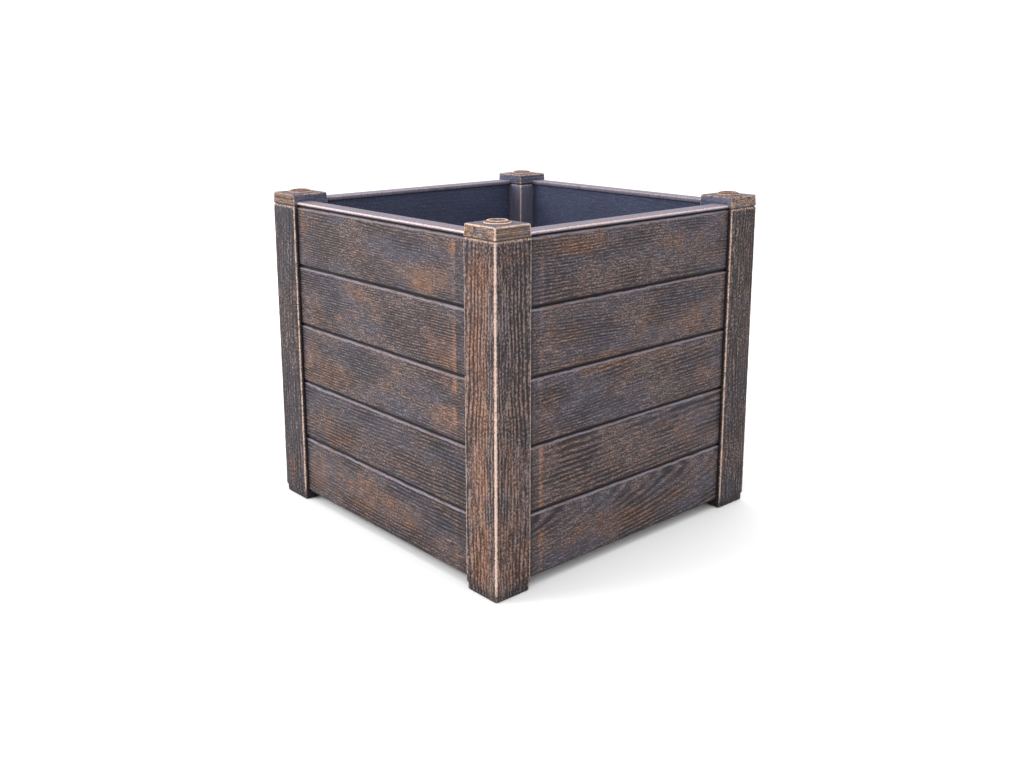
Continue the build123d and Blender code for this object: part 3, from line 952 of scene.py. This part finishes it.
def capLevels(bottom, top):
    # each level: how far out, how high, how round its corners are, and how much of a circle it is
    shape = capShape
    half, edge, seam = postSize / 2, shape["edge"], shape["seam"]
    shoulder = top - shape["topRound"]
    brow = half - shape["lean"]
    flat = brow - shape["topRound"]
    levels = [(half - seam, bottom, edge, 0.0), (half, bottom + seam, edge, 0.0)]
    for step in range(1, shape["sideLevels"] + 1):
        part = step / shape["sideLevels"]
        height = bottom + seam + (shoulder - bottom - seam) * part
        levels.append((half - shape["lean"] * part, height, edge, 0.0))
    for step in range(1, shape["roundLevels"] + 1):
        angle = math.pi / 2 * step / shape["roundLevels"]
        reach = brow - shape["topRound"] * (1 - math.cos(angle))
        levels.append((reach, shoulder + shape["topRound"] * math.sin(angle), edge, 0.0))
    for step in range(1, shape["topLevels"] + 1):
        part = step / shape["topLevels"]
        reach = flat + (shape["pocketRadius"] - flat) * part
        levels.append((reach, top, edge, smoothStep(0.35, 1.0, part)))
    pocketFloor = top - shape["pocketDepth"]
    levels.append((shape["pocketRadius"], pocketFloor, shape["pocketEdge"], 1.0))
    levels.append((shape["holeRadius"], pocketFloor, shape["pocketEdge"], 1.0))
    levels.append((shape["holeRadius"], bottom, shape["pocketEdge"], 1.0))
    return levels


def makeCapBlank(bottom, top):
    # a square ring grown up the sides, in over the top and down the bolt hole, then closed below
    bm = bmesh.new()
    square = bmesh.ops.create_circle(bm, segments=4, radius=postSize / 2 * math.sqrt(2))["verts"]
    bmesh.ops.rotate(bm, verts=square, matrix=Matrix.Rotation(math.pi / 4, 3, "Z"))
    bmesh.ops.translate(bm, verts=square, vec=(0, 0, bottom))
    bmesh.ops.subdivide_edges(bm, edges=bm.edges[:], cuts=capShape["sideCuts"])
    firstRing = ring = bm.edges[:]
    verts = bm.verts[:]
    for index, (reach, height, radius, circle) in enumerate(capLevels(bottom, top)):
        if index:
            ring, verts = growRing(bm, ring)
        for vert in verts:
            side = Vector((vert.co.x, vert.co.y))
            side /= max(abs(side.x), abs(side.y))
            if circle < 1:
                spot, _ = onRoundSquare(side.x * reach, side.y * reach, reach, radius)
                spot = spot.lerp(side.normalized() * reach, circle)
            else:
                spot = side.normalized() * reach
            vert.co = (spot.x, spot.y, height)
    bmesh.ops.bridge_loops(bm, edges=firstRing + ring)
    return bm


def makeCap(corner):
    shape, brush, dark = capShape, capBrush, capShade
    node = f"cap_{corner}"
    low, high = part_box(node)
    bottom, top = low.z, high.z
    brow = postSize / 2 - shape["lean"]
    flat = brow - shape["topRound"]
    bm = makeCapBlank(bottom, top)
    skin = Skin(bm)
    seed = 211 + 7 * corners[corner]
    wearHere = wearAtCorner[corner]
    for vert in bm.verts:
        x, y, z = vert.co
        across = max(abs(x), abs(y))
        toMiddle = math.hypot(x, y)
        # the bolt hole and the underside are darkened as painted shade
        if toMiddle < shape["pocketRadius"] + 0.0002 or z < bottom + 1e-5:  # the bolt hole and the underside
            skin.paint(vert, (x, y + z, seed), relief=0.3, shade=0.7)
            continue
        rimWear = 1 - smoothStep(0.0006, 0.0032, abs(across - brow) + abs(top - z) * 0.9)
        arris = 1 - smoothStep(0.001, 0.0046, abs(abs(x) - brow) + abs(abs(y) - brow))
        arris *= 1 if z < top - 0.0002 else 0.3
        worn = max(rimWear, arris)
        nick = 0.5 + 0.5 * drift(x * 160, y * 160 + z * 160, seed)
        onTop = z > top - 0.0003 and across < flat
        line = drift(x * 60, y * 520, seed) if onTop else 1.3 * drift((x + y) * 150, z * 330, seed + 4)
        relief = min(max(0.55 + 0.45 * line, 0), 1)
        if onTop:
            vert.co.z -= brush["topCut"] * (1 - relief)
        else:
            cut = brush["sideCut"] * (1 - relief) + brush["wornBack"] * worn * nick
            push = Vector((x, y)).normalized() * cut
            vert.co.x -= push.x
            vert.co.y -= push.y
            vert.co.z -= brush["wornDown"] * worn * nick
        patchy = smoothStep(-0.25, 0.25, drift((x + 2 * y) * 45, z * 110, seed + 8))
        inward = not onTop and (y > brow - 0.002 or x < 0.002 - brow)
        # painted shade in the V under the cap, on the cap's right side and round the button; the whole top
        # is darkened a little and paled, the pale as a painted highlight
        seamShade = dark["seam"] * (1 - smoothStep(0.0005, 0.003, z - bottom))
        sideShade = dark["rightSide"] if x > brow - 0.002 else 0
        topShade = dark["top"] + dark["underButton"] * (1 - smoothStep(0.0205, 0.0245, toMiddle))
        skin.paint(
            vert, (x, y if onTop else z, seed),
            relief=0.2 + 0.3 * relief if onTop else 0.25 + 0.75 * relief,
            rub=0.1 if onTop else patchy * (0.4 + 0.6 * wearHere),
            wear=worn * (0.5 + 0.5 * nick) * wearHere,
            pale=0.7 if onTop else 0, inside=0.85 * (1 - worn) if inward else 0,
            shade=max(seamShade, topShade if onTop else sideShade),
        )
    bm.transform(cornerFrame(corner))
    return newPiece(f"wornCap_{corner}", bm, capWood, node)


buttonShape = dict(
    radius=0.02, edge=0.0012, height=0.0046, ringRadius=0.015, crest=0.002, slope=0.001, dish=0.001,
    bevel=0.0004, spigot=0.011, spigotHeight=0.0036, profileCuts=2, steps=64,
)
buttonWear = dict(crest=0.75, least=0.25, dent=0.00018)


def buttonProfile():
    # (radius, height) points: the spigot, the rim, the raised ring and the dish inside it
    shape = buttonShape
    radius, ring, rise = shape["radius"], shape["ringRadius"], shape["height"]
    bevel, edge, spigot = shape["bevel"], shape["edge"], shape["spigot"]
    crestInside = ring - shape["crest"]
    return [
        (0, -shape["spigotHeight"]), (spigot, -shape["spigotHeight"]), (spigot, 0), (radius - bevel, 0),
        (radius, bevel), (radius, edge), (radius - bevel, edge + bevel),
        (ring + 0.0006, rise - 0.0006), (ring, rise - 0.0001), (ring - 0.0006, rise),
        (crestInside + 0.0004, rise), (crestInside, rise - 0.0001),
        (crestInside - shape["slope"], rise - shape["dish"]),
        (crestInside * 0.6, rise - shape["dish"] - 0.0001), (0, rise - shape["dish"]),
    ]


def makeButton(corner):
    shape, worn = buttonShape, buttonWear
    node = f"button_{corner}"
    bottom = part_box(node)[0].z + shape["spigotHeight"]
    bm = bmesh.new()
    verts = [bm.verts.new((r, 0, bottom + z)) for r, z in buttonProfile()]
    edges = [bm.edges.new(pair) for pair in zip(verts, verts[1:])]
    bmesh.ops.subdivide_edges(bm, edges=edges[3:], cuts=shape["profileCuts"])
    bmesh.ops.spin(
        bm, geom=bm.verts[:] + bm.edges[:], cent=(0, 0, 0), axis=(0, 0, 1), angle=2 * math.pi,
        steps=shape["steps"], use_merge=True,
    )
    bmesh.ops.remove_doubles(bm, verts=bm.verts[:], dist=1e-6)
    skin = Skin(bm)
    seed = 301 + corners[corner]
    for vert in bm.verts:
        x, y, z = vert.co
        r, rise = math.hypot(x, y), z - bottom
        nick = drift(x * 300, y * 300, seed)
        crest = 1 - smoothStep(0.0008, 0.0026, abs(r - shape["ringRadius"] + 0.001))
        rim = 1 - smoothStep(0.0008, 0.0030, abs(r - shape["radius"]) + abs(rise - shape["edge"]))
        if rise > 0.0003:
            vert.co.z += worn["dent"] * nick
        wear = max(worn["crest"] * crest, rim, worn["least"]) * wearAtCorner[corner]
        # the foot of the button is darkened as painted shadow on the cap
        skin.paint(
            vert, (x, y, seed), relief=0.6 + 0.4 * nick, rub=0.8 if rise > 0.0006 else 0.2,
            wear=wear if rise > 0 else 0,
            shade=max(0.9 * (1 - smoothStep(0.0001, 0.0008, rise)), 0.25 if r < shape["spigot"] else 0),
        )
    bm.transform(cornerFrame(corner))
    return newPiece(f"ringButton_{corner}", bm, buttonWood, node)


for corner in corners:
    makeCap(corner)
    makeButton(corner)
print("caps and buttons made")

# the floor timber and the fasteners keep their own shapes, and only take a finish
plainTimberSet = dict(
    dark=linear(46, 42, 46), light=linear(96, 88, 90), warm=linear(110, 88, 74), warmAmount=0.35,
    stretch=(9.0, 190.0, 190.0), grainDetail=5.0, distortion=0.6, grainBand=(0.3, 0.75),
    patchScale=14.0, patchDetail=3.0, roughness=0.62, roughnessSwing=0.2, bump=0.5, bumpDistance=0.0008,
)
metalSet = dict(
    metallic=0.9, fleckScale=700.0, fleckDetail=3.0, fleckBand=(0.35, 0.7), dull=0.6,
    roughnessSwing=0.2, bump=0.2, bumpDistance=0.0002,
)


def makePlainTimber(name, spec):
    material, tree, shader = newMaterial(name)
    where = tree.nodes.new("ShaderNodeTexCoord").outputs["Object"]
    stretched = addNode(tree, "ShaderNodeMapping", {"Vector": where, "Scale": spec["stretch"]}).outputs[0]
    grain = noiseNode(tree, stretched, 1.0, spec["grainDetail"], distortion=spec["distortion"])
    patch = noiseNode(tree, where, spec["patchScale"], spec["patchDetail"])
    base = mixColour(tree, between(tree, grain, *spec["grainBand"]), spec["dark"], spec["light"])
    colour = mixColour(tree, times(tree, patch, spec["warmAmount"]), base, spec["warm"])
    tree.links.new(colour, shader.inputs["Base Color"])
    rough = plus(tree, spec["roughness"], times(tree, grain, spec["roughnessSwing"]))
    tree.links.new(rough, shader.inputs["Roughness"])
    bumpInto(tree, shader, grain, spec["bump"], spec["bumpDistance"])
    return material


def makeMetal(name, colour, roughness):
    spec = metalSet
    material, tree, shader = newMaterial(name)
    shader.inputs["Metallic"].default_value = spec["metallic"]
    where = tree.nodes.new("ShaderNodeTexCoord").outputs["Object"]
    fleck = noiseNode(tree, where, spec["fleckScale"], spec["fleckDetail"])
    dull = tuple(part * spec["dull"] for part in colour)
    flecked = mixColour(tree, between(tree, fleck, *spec["fleckBand"]), (*dull, 1), (*colour, 1))
    tree.links.new(flecked, shader.inputs["Base Color"])
    rough = plus(tree, roughness, times(tree, fleck, spec["roughnessSwing"]))
    tree.links.new(rough, shader.inputs["Roughness"])
    bumpInto(tree, shader, fleck, spec["bump"], spec["bumpDistance"])
    return material


finishBySlot = dict(
    floor_timber=makePlainTimber("floorTimber", plainTimberSet),
    zinc_steel=makeMetal("zincSteel", (0.6, 0.6, 0.62), 0.35),
    insert_brass=makeMetal("insertBrass", (0.72, 0.5, 0.24), 0.3),
)
for part in frame["record"]["subparts"]:
    finish = finishBySlot.get(part["material_slot"])
    if finish:
        mesh = nodes[part["node"]].data
        mesh.materials.clear()
        mesh.materials.append(finish)
print("floor and fasteners finished")
